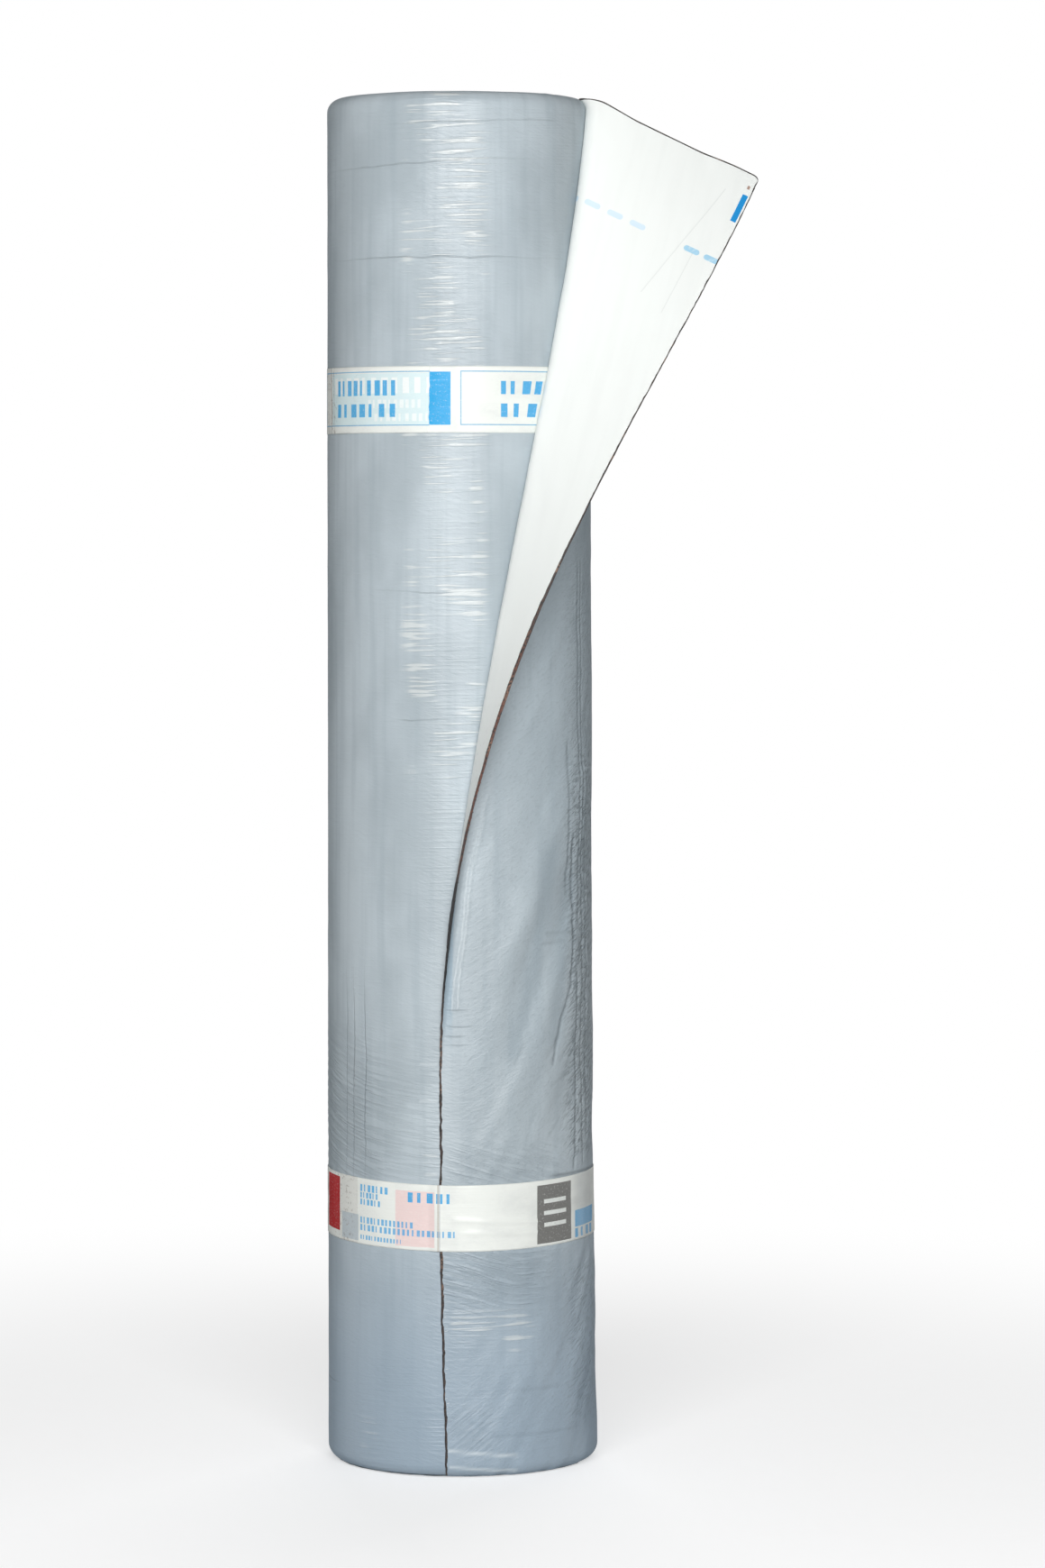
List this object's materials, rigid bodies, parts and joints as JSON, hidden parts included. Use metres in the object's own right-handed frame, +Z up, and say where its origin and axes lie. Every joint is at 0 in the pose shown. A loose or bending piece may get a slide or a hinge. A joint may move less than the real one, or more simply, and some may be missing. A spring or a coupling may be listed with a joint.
{
  "type": "roll of waterproofing membrane",
  "caption": "Roll of self-adhesive waterproofing membrane standing on its end, with printed tape bands and the top corner of its outer turn peeled back.",
  "frame": {"origin": "centre of the roll's open middle, at the end face that it stands on", "axes": "+Z up along the roll's axis; the front, where the sheet's free edge lies, is towards -Y; the corner is peeled back towards +X"},
  "size_m": [0.317, 0.2246, 1],
  "materials": {
    "membrane": "satin",
    "tape": "gloss"
  },
  "bodies": {
    "root": {"membrane": "membrane", "upper_band": "tape", "lower_band": "tape"}
  },
  "joints": []
}
